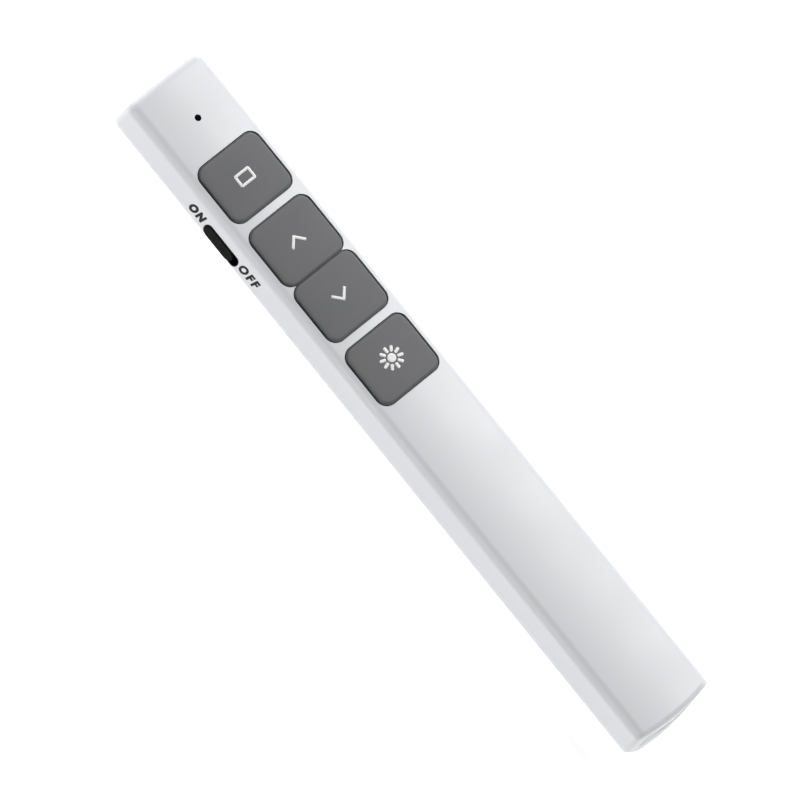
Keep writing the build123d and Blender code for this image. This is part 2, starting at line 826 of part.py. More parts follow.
# ---------------------------------------------------------------- battery door
door_nose = tray_nose - door_gap
with BuildPart() as battery_door:
    add(
        (outer_form - cavity_form)
        & slab(
            -overrun,
            seam_height,
            tray_tail + door_gap,
            door_nose,
            tray_half_width - door_gap,
        )
    )
    # tabs that hook over the edge of the shell, each on a short root
    with BuildSketch(Plane.XY.offset(wall + fit_gap)):
        for side in (-1, 1):
            with Locations((side * door_tab_x, door_nose + (door_tab_reach - door_tab_root) / 2)):
                Rectangle(door_tab_width, door_tab_reach + door_tab_root)
    extrude(amount=door_tab_thickness)
    with BuildSketch(Plane.XY.offset(wall - door_tab_thickness / 2)):
        for side in (-1, 1):
            with Locations((side * door_tab_x, door_nose - door_tab_root / 2)):
                Rectangle(door_tab_width, door_tab_root)
    extrude(amount=door_tab_thickness / 2 + fit_gap)
    # thumb grooves by the free end
    with BuildSketch(Plane.XY):
        with Locations((0, tray_tail + (groove_count + 1) * groove_pitch)):
            with GridLocations(1, groove_pitch, 1, groove_count):
                SlotOverall(groove_length, groove_width)
    extrude(amount=groove_depth, mode=Mode.SUBTRACT)
save(battery_door, "battery_door")

# ---------------------------------------------------------------- receiver and its dock
grip_nose = tail_y + grip_length
dock_nose = receiver_nose + dock_gap
with BuildPart() as receiver_dock:
    add(
        tube(
            grip_width + 2 * (dock_gap + dock_wall),
            grip_height + 2 * (dock_gap + dock_wall),
            grip_corner + dock_gap + dock_wall,
            tail_y,
            dock_nose + dock_wall,
        )
    )
    add(contents_form, mode=Mode.INTERSECT)
    add(
        tube(
            grip_width + 2 * dock_gap,
            grip_height + 2 * dock_gap,
            grip_corner + dock_gap,
            tail_y - overrun,
            dock_nose,
        ),
        mode=Mode.SUBTRACT,
    )
save(receiver_dock, "receiver_dock")

with BuildPart() as receiver_grip:
    add(tube(grip_width, grip_height, grip_corner, tail_y - overrun, grip_nose))
    add(outer_form, mode=Mode.INTERSECT)
    # groove for a fingernail across the end
    nail_z = receiver_z + grip_height / 4
    nail_floor = tail_y + tail_rake * (nail_z - tail_foot) / body_height + nail_depth
    with BuildSketch(Plane.XZ.offset(-nail_floor)):
        with Locations((0, nail_z)):
            SlotOverall(nail_length, nail_width)
    extrude(amount=overrun, mode=Mode.SUBTRACT)
save(receiver_grip, "receiver_grip")

with BuildPart() as receiver_plug:
    with BuildSketch(Plane.XZ.offset(-receiver_nose)):
        with Locations((0, receiver_z)):
            Rectangle(plug_width, plug_height)
            Rectangle(plug_width - 2 * plug_sheet, plug_height - 2 * plug_sheet, mode=Mode.SUBTRACT)
    extrude(amount=plug_length)
    # the two latch holes of the sheet metal shell, top and bottom
    with BuildSketch(Plane.XY.offset(receiver_z - plug_height)):
        with Locations((0, receiver_nose - plug_length / 2)):
            with GridLocations(plug_height, 1, 2, 1):
                Rectangle(plug_height / 2, plug_height / 2)
    extrude(amount=2 * plug_height, mode=Mode.SUBTRACT)
save(receiver_plug, "receiver_plug")

tongue_foot = receiver_z - plug_height / 2 + plug_sheet
with BuildPart() as receiver_tongue:
    add(
        slab(
            tongue_foot,
            tongue_foot + tongue_thickness,
            grip_nose,
            receiver_nose - tongue_setback,
            plug_width / 2 - tongue_side_gap,
        )
    )
save(receiver_tongue, "receiver_tongue")

strip_y = receiver_nose - 2 * tongue_setback - strip_length / 2
with BuildPart() as receiver_contact_strips:
    with BuildSketch(Plane.XY.offset(tongue_foot + tongue_thickness)):
        with Locations((0, strip_y)):
            with GridLocations(strip_pitch, 1, contact_strips, 1):
                Rectangle(strip_width, strip_length)
    extrude(amount=strip_thickness)
save(receiver_contact_strips, "receiver_contact_strips")
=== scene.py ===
"""Wireless presentation clicker: finishes, printed marks, key caps, light and camera.

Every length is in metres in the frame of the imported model: +Y points to the nose, +X to the
right hand side seen from above and +Z up. The clicker lies on its flat back at z = 0.
"""
import logging
import math
from dataclasses import KW_ONLY, dataclass, field
from enum import Enum
from typing import Any, ClassVar, Sequence

import bmesh
import bpy
import numpy as np
from mathutils import Matrix, Vector


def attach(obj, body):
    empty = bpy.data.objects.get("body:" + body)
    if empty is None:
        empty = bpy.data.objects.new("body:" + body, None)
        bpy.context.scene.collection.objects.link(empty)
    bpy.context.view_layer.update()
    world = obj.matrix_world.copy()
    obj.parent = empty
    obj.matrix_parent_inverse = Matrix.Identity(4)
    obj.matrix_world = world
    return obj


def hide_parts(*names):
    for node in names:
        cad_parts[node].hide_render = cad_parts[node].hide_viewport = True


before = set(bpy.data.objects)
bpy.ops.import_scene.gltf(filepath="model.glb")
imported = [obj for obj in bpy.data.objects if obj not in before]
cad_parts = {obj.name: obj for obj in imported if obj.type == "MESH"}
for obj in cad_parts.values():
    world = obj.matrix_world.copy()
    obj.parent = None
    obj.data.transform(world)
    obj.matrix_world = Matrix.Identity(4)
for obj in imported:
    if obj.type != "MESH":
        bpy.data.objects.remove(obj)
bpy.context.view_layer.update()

MM = 1e-3
LOG = logging.getLogger("clicker")
NOISE_SPAN = (0.3, 0.7)  # nearly all of a noise pattern lies between these two
MIX_FROM, MIX_TO, MIXED = 6, 7, 2  # a Mix node's colour sockets, whose names come several times

Array = np.ndarray
Socket = bpy.types.NodeSocket
Material = bpy.types.Material
Piece = bpy.types.Object
Inputs = dict[int | str, Any]
Pair = tuple[float, float]
Triple = tuple[float, float, float]
Skin = tuple[Array, list[Array]]


# ---- colour and nodes
def linear(hex_colour: str) -> tuple[float, float, float, float]:
    """Turn an sRGB hex colour into a linear one.

    Args:
        hex_colour: the colour as "#rrggbb".

    Returns:
        Linear red, green, blue and an alpha of 1.
    """
    code = np.array([int(hex_colour[i : i + 2], 16) for i in (1, 3, 5)]) / 255
    light = np.where(code <= 0.04045, code / 12.92, ((code + 0.055) / 1.055) ** 2.4)
    return (float(light[0]), float(light[1]), float(light[2]), 1.0)


def per_mm(size: float) -> float:
    """Texture scale, in cycles per metre, of a pattern whose feature is size millimetres."""
    return 1 / (size * MM)


@dataclass
class Nodes:
    """Nodes of one material, with the Object coordinates that its patterns follow."""

    tree: bpy.types.NodeTree
    place: Socket = field(init=False)

    def __post_init__(self) -> None:
        """Empty the tree and add the coordinates."""
        self.tree.nodes.clear()
        self.place = self.add("ShaderNodeTexCoord").outputs["Object"]

    def add(self, kind: str, inputs: Inputs | None = None, **settings: Any) -> bpy.types.Node:
        """Add one node with its settings, its socket values and its links.

        Args:
            kind: the node's type name.
            inputs: a value or another node's output socket for each input named.
            settings: the node's own properties.

        Returns:
            The new node.
        """
        node = self.tree.nodes.new(kind)
        for name, value in settings.items():
            setattr(node, name, value)
        for socket, value in (inputs or {}).items():
            if isinstance(value, Socket):
                self.tree.links.new(value, node.inputs[socket])
            else:
                node.inputs[socket].default_value = value
        return node

    def cloud(self, width: float | Triple, detail: float, swirl: float = 0.0) -> Socket:
        """Add a cloudy pattern: a noise on stretched coordinates.

        Args:
            width: how wide it is in millimetres, the same all ways or along X, Y and Z.
            detail: how many finer clouds lie on the first.
            swirl: how far it is twisted.

        Returns:
            The pattern, from 0 to 1, mostly within NOISE_SPAN.
        """
        scale = tuple(per_mm(float(size)) for size in np.broadcast_to(width, 3))
        wide = self.add("ShaderNodeMapping", {"Vector": self.place, "Scale": scale}).outputs[0]
        noise = {"Vector": wide, "Scale": 1.0, "Detail": detail, "Distortion": swirl}
        return self.add("ShaderNodeTexNoise", noise).outputs["Fac"]


# ---- finishes
@dataclass(frozen=True)
class Finish:
    """What a surface is made of; each kind says what its shader's sockets get."""

    name: str
    colour: str

    def sockets(self, nodes: Nodes) -> Inputs:
        """Add the kind's own nodes and say what the shader gets."""
        raise NotImplementedError

    def material(self) -> Material:
        """Make the material: Object coordinates, the kind's own nodes and one shader.

        Returns:
            The material.
        """
        material = bpy.data.materials.new(self.name)
        material.use_nodes = True
        nodes = Nodes(material.node_tree)
        shader = nodes.add("ShaderNodeBsdfPrincipled", self.sockets(nodes))
        nodes.add("ShaderNodeOutputMaterial", {"Surface": shader.outputs[0]})
        return material


@dataclass(frozen=True)
class PatternedFinish(Finish):
    """Finish whose colour drifts from colour to shade over a relief depth millimetres deep.

    Its pattern is grain millimetres wide, the same all ways or along X, Y and Z.
    """

    shade: str
    roughness: float
    _: KW_ONLY
    grain: float | Triple = 0.22
    detail: float = 3.0
    swirl: float = 0.0
    gleam: float = 0.5
    depth: float = 0.004
    strength: float = 0.4

    @property
    def swing(self) -> float:
        """How far the roughness goes either way with the drift: here not at all."""
        return 0.0

    def patterns(self, nodes: Nodes) -> tuple[Socket, Socket]:
        """What colour and gloss follow, and what the relief follows: here one cloudy pattern."""
        return (nodes.cloud(self.grain, self.detail, self.swirl),) * 2

    def trim(self, nodes: Nodes, tone: Socket) -> Socket:
        """Colour after what is printed or painted on it; a bare surface keeps its own."""
        return tone

    def sockets(self, nodes: Nodes) -> Inputs:
        """Let one pattern drive colour and gloss, and one, which may be the same, the relief.

        Args:
            nodes: the material's nodes.

        Returns:
            The shader's colour, roughness, specular level and normal.
        """
        drift, relief = self.patterns(nodes)
        roughness: float | Socket = self.roughness
        if self.swing:
            span = {
                "Value": drift,
                "From Min": NOISE_SPAN[0],
                "From Max": NOISE_SPAN[1],
                "To Min": self.roughness - self.swing,
                "To Max": self.roughness + self.swing,
            }
            roughness = nodes.add("ShaderNodeMapRange", span).outputs[0]
        mix = {"Factor": drift, MIX_FROM: linear(self.colour), MIX_TO: linear(self.shade)}
        tone = nodes.add("ShaderNodeMix", mix, data_type="RGBA").outputs[MIXED]
        stand = {"Height": relief, "Distance": self.depth * MM, "Strength": self.strength}
        return {
            "Base Color": self.trim(nodes, tone),
            "Roughness": roughness,
            "Specular IOR Level": self.gleam,
            "Normal": nodes.add("ShaderNodeBump", stand).outputs[0],
        }


@dataclass(frozen=True, kw_only=True)
class MouldedPlastic(PatternedFinish):
    """Injection-moulded plastic with the fine grain of its spark-eroded mould.

    The grain breaks the highlights into a soft sheen, and the slow drift of colour and gloss
    is what tells moulded plastic from paint. Real grain is some 0.03 mm wide and is drawn
    coarser, so that it shows.
    """

    drift: float = 14.0
    drift_detail: float = 2.0
    depth: float = 0.003
    strength: float = 0.5

    @property
    def swing(self) -> float:
        """How far the gloss of a moulding varies over its face."""
        return 0.04

    def patterns(self, nodes: Nodes) -> tuple[Socket, Socket]:
        """The drift, drift millimetres wide, and the grain."""
        return nodes.cloud(self.drift, self.drift_detail), nodes.cloud(self.grain, self.detail)


@dataclass(frozen=True, kw_only=True)
class ShellPlastic(MouldedPlastic):
    """The shells' plastic, with its parting line and painted shade in the slider's slot.

    The thin grey line is where the two shells meet. Near-black shade is painted on the slot's
    walls and on a narrow rim round it, so that the slot reads as one dark opening, however the
    light falls into it. Sizes are in millimetres.
    """

    parting: float = 5.4
    parting_width: float = 0.07
    parting_colour: str = "#8d9094"
    slot_place: Pair = (44.675, 8.0)
    slot_half: Pair = (4.69, 1.68)
    slot_end: float = 1.0
    slot_side: float = -5.1
    # near-black painted shade for the slot's walls and the narrow rim round it
    slot_shade_colour: str = "#060607"

    def slot(self, nodes: Nodes) -> Socket:
        """Find where shade is painted: the slot and a narrow rim round it.

        Beyond is how far a point lies to the right of slot_side, past how far it lies beyond
        the slot's straight run, and up its height over the slot's middle. The slot is where
        beyond^2 + (past / end)^2 + (up / half)^2 is less than 1, beyond being in micrometres.

        Args:
            nodes: the material's nodes.

        Returns:
            1 in the slot and 0 elsewhere.
        """
        middle_y, middle_z = self.slot_place
        half_y, half_z = self.slot_half
        reach = nodes.place
        for operation, amount in (
            ("SUBTRACT", (self.slot_side * MM, middle_y * MM, middle_z * MM)),
            ("MAXIMUM", (0.0, -1.0, -1.0)),
            ("ABSOLUTE", (0.0, 0.0, 0.0)),
            ("SUBTRACT", (0.0, (half_y - self.slot_end) * MM, 0.0)),
            ("MAXIMUM", (0.0, 0.0, 0.0)),
            ("MULTIPLY", (per_mm(MM), per_mm(self.slot_end), per_mm(half_z))),
        ):
            step = {0: reach, 1: amount}
            reach = nodes.add("ShaderNodeVectorMath", step, operation=operation).outputs[0]
        size = nodes.add("ShaderNodeVectorMath", {0: reach}, operation="LENGTH")
        within = {0: size.outputs["Value"], 1: 1.0}
        return nodes.add("ShaderNodeMath", within, operation="LESS_THAN").outputs[0]

    def trim(self, nodes: Nodes, tone: Socket) -> Socket:
        """Draw the parting line and paint shade into the slot.

        Args:
            nodes: the material's nodes.
            tone: the bare plastic's colour.

        Returns:
            The trimmed colour.
        """
        height = nodes.add("ShaderNodeSeparateXYZ", {0: nodes.place}).outputs["Z"]
        near = {0: height, 1: self.parting * MM, 2: self.parting_width * MM / 2}
        line = nodes.add("ShaderNodeMath", near, operation="COMPARE").outputs[0]
        # the slot's walls and a narrow rim round it get near-black painted shade
        slot = self.slot(nodes)
        for where, colour in ((line, self.parting_colour), (slot, self.slot_shade_colour)):
            mix = {"Factor": where, MIX_FROM: tone, MIX_TO: linear(colour)}
            tone = nodes.add("ShaderNodeMix", mix, data_type="RGBA").outputs[MIXED]
        return tone


@dataclass(frozen=True, kw_only=True)
class PadPrint(PatternedFinish):
    """Pad-printed ink: an even matt film that lies thinner where the grain stands up."""

    grain: float = 0.15
    detail: float = 2.0
    gleam: float = 0.2
    depth: float = 0.002


@dataclass(frozen=True, kw_only=True)
class Acrylic(PatternedFinish):
    """Moulded acrylic or epoxy, clear or tinted: a polished skin that light enters.

    Its grain is the flow lines of a small moulding, which tint it slightly.
    """

    transmission: float
    refraction: float = 1.49
    grain: float = 1.2
    detail: float = 1.0
    swirl: float = 0.4
    strength: float = 0.3

    def sockets(self, nodes: Nodes) -> Inputs:
        """What the shader gets, with the light that passes through."""
        light = {"IOR": self.refraction, "Transmission Weight": self.transmission}
        return super().sockets(nodes) | light


@dataclass(frozen=True, kw_only=True)
class WorkedMetal(PatternedFinish):
    """Bare or plated metal that keeps the marks of how it was drawn, rolled or turned.

    Its grain is those marks, which tint and score it: long along a rolled sheet and round the
    axis of a turned barrel.
    """

    @property
    def swing(self) -> float:
        """How far the marks dull or polish the metal."""
        return self.roughness / 4

    def sockets(self, nodes: Nodes) -> Inputs:
        """What the shader gets, as a metal with the default IOR."""
        return super().sockets(nodes) | {"Metallic": 1.0}


@dataclass(frozen=True, kw_only=True)
class SolderMask(PatternedFinish):
    """Solder mask over a copper pattern: a glossy lacquer with raised, lighter tracks."""

    pitch: float = 1.1
    track_width: float = 0.22
    depth: float = 0.03
    strength: float = 0.5

    def patterns(self, nodes: Nodes) -> tuple[Socket, Socket]:
        """Tracks along the joints of a brick pattern, pitch millimetres apart.

        Args:
            nodes: the material's nodes.

        Returns:
            1 on a track and 0 beside it, for the colour and for the relief.
        """
        bricks = {
            "Vector": nodes.place,
            "Scale": 1.0,
            "Mortar Size": self.track_width * MM / 2,
            "Mortar Smooth": 0.3,
            "Brick Width": 4 * self.pitch * MM,
            "Row Height": self.pitch * MM,
        }
        return (nodes.add("ShaderNodeTexBrick", bricks).outputs["Fac"],) * 2


@dataclass(frozen=True, kw_only=True)
class ShrinkSleeve(PatternedFinish):
    """Printed PVC shrink sleeve of a cell: two bands of colour under a glossy, wavy skin."""

    band_from: float
    band_blur: float = 0.1
    grain: float = 2.5
    detail: float = 2.0
    depth: float = 0.02
    strength: float = 0.3

    def patterns(self, nodes: Nodes) -> tuple[Socket, Socket]:
        """The band of the second colour, and the wrinkles of the film.

        Args:
            nodes: the material's nodes.

        Returns:
            0 before band_from, in millimetres along Y, and 1 after it, and the wrinkles.
        """
        along = nodes.add("ShaderNodeSeparateXYZ", {0: nodes.place}).outputs["Y"]
        edge = {"From Min": self.band_from * MM, "From Max": (self.band_from + self.band_blur) * MM}
        band = nodes.add("ShaderNodeMapRange", {"Value": along, **edge}).outputs[0]
        return band, nodes.cloud(self.grain, self.detail)


@dataclass(frozen=True, kw_only=True)
class Backdrop(Finish):
    """Matt white seamless paper, lit so evenly that no shadow is left on it."""

    glow: float

    def sockets(self, nodes: Nodes) -> Inputs:
        """One even colour, with a glow for the light that the lit paper sends back."""
        paper = {"Base Color": linear(self.colour), "Emission Color": linear(self.colour)}
        return paper | {"Roughness": 0.9, "Specular IOR Level": 0.0, "Emission Strength": self.glow}


# ---- surfaces
def add_object(name: str, data: bpy.types.ID) -> Piece:
    """Put a mesh, a text, a light or a camera into the scene, at the origin.

    Args:
        name: the object's name.
        data: what it shows.

    Returns:
        The new object.
    """
    thing = bpy.data.objects.new(name, data)
    bpy.context.scene.collection.objects.link(thing)
    return thing


def mesh_piece(name: str, points: Array, faces: Sequence[Sequence[int]]) -> Piece:
    """Put points and faces into a new, smoothly shaded piece.

    Args:
        name: the piece's name.
        points: an (n, 3) array of places.
        faces: corner numbers of each face, anticlockwise seen from outside.

    Returns:
        The new piece.
    """
    mesh = bpy.data.meshes.new(name)
    mesh.from_pydata(points.tolist(), [], [list(map(int, face)) for face in faces])
    mesh.polygons.foreach_set("use_smooth", np.ones(len(mesh.polygons), bool))
    mesh.update()
    return add_object(name, mesh)


def face_outwards(piece: Piece) -> None:
    """Turn the faces of a closed piece so that they all look outwards.

    Args:
        piece: a closed mesh object.
    """
    shape = bmesh.new()
    shape.from_mesh(piece.data)
    bmesh.ops.recalc_face_normals(shape, faces=shape.faces)
    shape.to_mesh(piece.data)
    shape.free()


def closed_loft(rings: Array) -> Skin:
    """Skin a stack of rings and close both ends.

    Ring i joins ring i + 1 by one row of four-sided faces. The first and the last ring are
    closed by triangles to their own mean point. The rings run anticlockwise seen from the side
    of the first one, so that the faces look outwards.

    Args:
        rings: an (r, n, 3) array.

    Returns:
        The points and the faces.
    """
    count, around, _ = rings.shape
    points = np.concatenate(
        [rings.reshape(-1, 3), rings[0].mean(0)[None], rings[-1].mean(0)[None]]
    )
    number = np.arange(count * around).reshape(count, around)
    after = np.roll(number, -1, axis=1)
    quads = np.stack([number[:-1], number[1:], after[1:], after[:-1]], -1).reshape(-1, 4)
    first, last = count * around, count * around + 1
    start = np.stack([np.full(around, first), number[0], after[0]], -1)
    end = np.stack([np.full(around, last), after[-1], number[-1]], -1)
    return points, [*quads, *start, *end]


def sheet_faces(
    rows: int, columns: int, copies: int = 1, closed: bool = False, tube: bool = False
) -> Array:
    """Faces of one or several grids of points that lie one after the other.

    Args:
        rows: points along the first direction.
        columns: points along the second one.
        copies: number of grids.
        closed: whether the last row joins the first one.
        tube: whether the last column joins the first one.

    Returns:
        An (m, 4) array of corner numbers.
    """
    number = np.arange(rows * columns).reshape(rows, columns)
    if closed:
        number = np.concatenate([number, number[:1]])
    if tube:
        number = np.concatenate([number, number[:, :1]], 1)
    quads = np.stack(
        [number[:-1, :-1], number[1:, :-1], number[1:, 1:], number[:-1, 1:]], -1
    ).reshape(-1, 4)
    steps = np.arange(copies)[:, None, None] * rows * columns
    return (quads[None] + steps).reshape(-1, 4)


@dataclass
class RoundedOutline:
    """Rectangle with rounded corners, as a core line and the direction it is pushed out in.

    A ring at inset d is core + (corner - d) * direction, so that all rings have the same number
    of points and run parallel.
    """

    half_x: float
    half_y: float
    corner: float
    straight_steps: int = 12
    corner_steps: int = 10
    core: Array = field(init=False)
    direction: Array = field(init=False)

    def __post_init__(self) -> None:
        """Work out the core line and the directions, anticlockwise from the +X side.

        Each side has a straight run along it and then a turn round its corner.
        """
        run = np.linspace(-1, 1, self.straight_steps, endpoint=False)
        turn = np.linspace(0, math.pi / 2, self.corner_steps, endpoint=False)
        side = np.arange(4)[:, None] * math.pi / 2
        along = np.concatenate([run, np.ones(len(turn))])
        bend = side + np.concatenate([np.zeros(len(run)), turn])
        unit_x, unit_y = np.cos(side) - along * np.sin(side), np.sin(side) + along * np.cos(side)
        reach = [self.half_x - self.corner, self.half_y - self.corner]
        self.core = np.stack([unit_x, unit_y], -1).reshape(-1, 2) * reach
        self.direction = np.stack([np.cos(bend), np.sin(bend)], -1).reshape(-1, 2)

    def ring(self, inset: float) -> Array:
        """The ring that lies inset inside the outline, as an (n, 2) array."""
        return self.core + (self.corner - inset) * self.direction


@dataclass
class BodySection:
    """Cross-section of the shells: crowned top, flanks leaning in and the belly below them.

    The crown is an arc through the two upper corners that rises by crown in the middle, and a
    flank is a straight line through the waist that leans in by lean degrees.
    """

    width: float = 20.2 * MM
    height: float = 14.0 * MM
    crown: float = 0.7 * MM
    lean: float = 10.0
    belly_lean: float = 35.0
    waist_height: float = 5.75 * MM
    waist_radius: float = 3.0 * MM

    @property
    def waist_x(self) -> float:
        """Half width at the corner that the flank and the belly would meet in."""
        half_turn = math.radians((self.lean + self.belly_lean) / 2)
        slant = math.radians((self.belly_lean - self.lean) / 2)
        round_off = 1 - math.cos(slant) / math.cos(half_turn)
        return self.width / 2 - self.waist_radius * round_off

    @property
    def crown_radius(self) -> float:
        """Radius of the crown's arc."""
        corner_z = self.height - self.crown
        corner_x = self.flank_x(corner_z)
        return (corner_x**2 + self.crown**2) / (2 * self.crown)

    def flank_x(self, z: float) -> float:
        """Distance of the flank from the middle plane at height z."""
        return self.waist_x - (z - self.waist_height) * math.tan(math.radians(self.lean))

    def side_x(self, z: Array, proud: Array) -> Array:
        """Distance from the middle plane of a surface that stands proud of the side by proud.

        Below the height where the waist's arc touches the flank it is centre + sqrt((r + p)^2
        - dz^2), and above it the flank's line moved out by p / cos(lean).

        Args:
            z: heights.
            proud: how far the surface stands out at each of them.

        Returns:
            The distances.
        """
        lean = math.radians(self.lean)
        touch = self.waist_radius * math.tan(math.radians((self.lean + self.belly_lean) / 2))
        middle_z = self.waist_height + touch * math.cos(lean) - self.waist_radius * math.sin(lean)
        reach = self.waist_radius + proud
        rise = np.minimum(np.abs(z - middle_z), reach)
        arc = self.width / 2 - self.waist_radius + np.sqrt(reach**2 - rise**2)
        line = self.flank_x(z) + proud / math.cos(lean)
        return np.where(z < middle_z + reach * math.sin(lean), arc, line)

    def crown_z(self, x: Array, proud: float = 0.0) -> Array:
        """Height of the crown at x, or of a surface that stands proud of it by proud."""
        centre = self.height - self.crown_radius
        return centre + np.sqrt((self.crown_radius + proud) ** 2 - x**2)


# ---- what every sub-assembly does
@dataclass
class SubAssembly:
    """Part of the clicker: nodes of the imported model, and the pieces that are added to them.

    Each key of finishes names the nodes that get its finish.
    """

    finishes: ClassVar[dict[str, Finish]] = {}

    def dress(self) -> dict[str, Material]:
        """Give the nodes their finishes.

        Returns:
            The material of each node.
        """
        materials = {}
        for names, finish in self.finishes.items():
            material = finish.material()
            for name in names.split():
                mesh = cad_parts[name].data
                mesh.materials.clear()
                mesh.materials.append(material)
                materials[name] = material
        return materials

    def build(self) -> list[Piece]:
        """Dress the nodes, where there is nothing to add.

        Returns:
            The pieces that were added.
        """
        self.dress()
        return []


# ---- keys
class Key(Enum):
    """Keys from the nose to the tail, in millimetres.

    Each has its middle and its half length along Y, its lips at the tail and at the nose, and
    the x and y of its mark.
    """

    FULLSCREEN = (51.5, 6.14, 0.28, 0.28, -0.22, 51.56)
    PREVIOUS = (36.685, 6.235, 0.17, 0.28, -0.20, 36.68)
    NEXT = (23.815, 6.235, 0.28, 0.17, -0.20, 23.90)
    LASER = (9.0, 6.14, 0.28, 0.28, -0.17, 9.25)


@dataclass
class KeyMark:
    """White mark printed on a key: flat strokes laid over the crown of the cap."""

    key: Key
    section: BodySection
    proud: float
    film: float = 0.03 * MM
    stroke: float = 0.53 * MM
    across: int = 3
    screen_outline: Triple = (1.84 * MM, 1.33 * MM, 0.42 * MM)
    half_angle: float = 43.0
    arm_length: float = 2.38 * MM
    spot_radius: float = 0.84 * MM
    spot_hub: float = 0.002
    rays: int = 10
    first_ray: float = 18.0
    ray_ends: Pair = (1.10 * MM, 2.36 * MM)
    ray_half_width: float = 0.30 * MM
    ray_squareness: int = 6
    beam_stretch: float = 1.05

    def screen(self) -> tuple[Array, Array]:
        """Outline of a screen: the strip between two parallel rounded rectangles.

        Returns:
            The flat points of the strip and its faces.
        """
        outline = RoundedOutline(*self.screen_outline)
        insets = np.linspace(0, self.stroke, self.across)
        rings = np.stack([outline.ring(inset) for inset in insets], 1)
        return rings.reshape(-1, 2), sheet_faces(len(rings), self.across, closed=True)

    def arrow(self, towards: float) -> tuple[Array, Array]:
        """Open arrow head: a strip along two straight arms with a mitred point.

        A point at u along an arm and v across the stroke is apex + u * arm + v * normal, and
        at the apex the stroke is cut on the bisector.

        Args:
            towards: 1 where the apex points to the nose and -1 where it points to the tail.

        Returns:
            The flat points of the strip and its faces.
        """
        spread = math.radians(self.half_angle)
        arm = np.array([math.sin(spread), -math.cos(spread)])
        normal = np.array([math.cos(spread), math.sin(spread)])
        across = np.linspace(-0.5, 0.5, self.across) * self.stroke
        along = np.linspace(0, 1, 7)
        mitre = across / math.tan(spread)
        start = np.outer(1 - along, mitre)[..., None] * -arm
        right = (
            along[:, None, None] * self.arm_length * arm + start + across[None, :, None] * normal
        )
        right[..., 1] += self.arm_length * math.cos(spread) / 2
        left = right[1:][::-1] * np.array([-1.0, 1.0])
        strip = np.concatenate([left, right]) * np.array([1.0, towards])
        return strip.reshape(-1, 2), sheet_faces(len(strip), self.across)

    def beam(self) -> tuple[Array, Array]:
        """Spot of light with rays round it.

        The spot is a disc given by radius and angle, from spot_hub of its radius outwards. Each
        ray is a bar along its own direction whose half width is w * (1 - |2u - 1|^n)^(1 / n),
        which rounds its two ends. All of it is stretched a little along the key.

        Returns:
            The flat points of the disc and the rays, and their faces.
        """
        radii = np.linspace(self.spot_hub, 1, 4) * self.spot_radius
        radius, turn = np.meshgrid(radii, np.linspace(0, 2 * math.pi, 36, endpoint=False))
        disc = np.stack([radius * np.cos(turn), radius * np.sin(turn)], -1)
        u = np.linspace(0, 1, 11)
        n = self.ray_squareness
        bar = self.ray_half_width * (1 - np.abs(2 * u - 1) ** n) ** (1 / n)
        reach = self.ray_ends[0] + u * (self.ray_ends[1] - self.ray_ends[0])
        heading = np.radians(self.first_ray + np.arange(self.rays) * 360 / self.rays)
        out = np.stack([np.cos(heading), np.sin(heading)], -1)
        side = np.stack([-out[:, 1], out[:, 0]], -1)
        v = np.linspace(-1, 1, self.across)
        bars = (
            reach[None, :, None, None] * out[:, None, None]
            + (bar[:, None] * v)[None, ..., None] * side[:, None, None]
        )
        points = np.concatenate([disc.reshape(-1, 2), bars.reshape(-1, 2)])
        disc_faces = sheet_faces(*turn.shape, closed=True)
        bar_faces = sheet_faces(len(u), len(v), copies=self.rays) + turn.size
        return points * [self.beam_stretch, 1.0], np.concatenate([disc_faces, bar_faces])

    def build(self, name: str) -> Piece:
        """Lay the flat mark over the crown and give the ink its thickness.

        A face looks up where the cross product of its two diagonals does, and is turned over
        where it doesn't.

        Args:
            name: the piece's name.

        Returns:
            The printed mark, a film that stands film above the cap.
        """
        flat, faces = {
            Key.FULLSCREEN: self.screen,
            Key.PREVIOUS: lambda: self.arrow(1.0),
            Key.NEXT: lambda: self.arrow(-1.0),
            Key.LASER: self.beam,
        }[self.key]()
        corners = flat[faces]
        first, second = corners[:, 2] - corners[:, 0], corners[:, 3] - corners[:, 1]
        upwards = first[:, 0] * second[:, 1] > first[:, 1] * second[:, 0]
        faces = np.where(upwards[:, None], faces, faces[:, ::-1])
        flat = flat + np.array(self.key.value[4:]) * MM
        up = self.section.crown_z(flat[:, 0], self.proud) + self.film
        piece = mesh_piece(name, np.column_stack([flat, up]), faces)
        ink = piece.modifiers.new("ink film", "SOLIDIFY")
        ink.thickness = 2 * self.film
        ink.offset = -1.0
        return piece


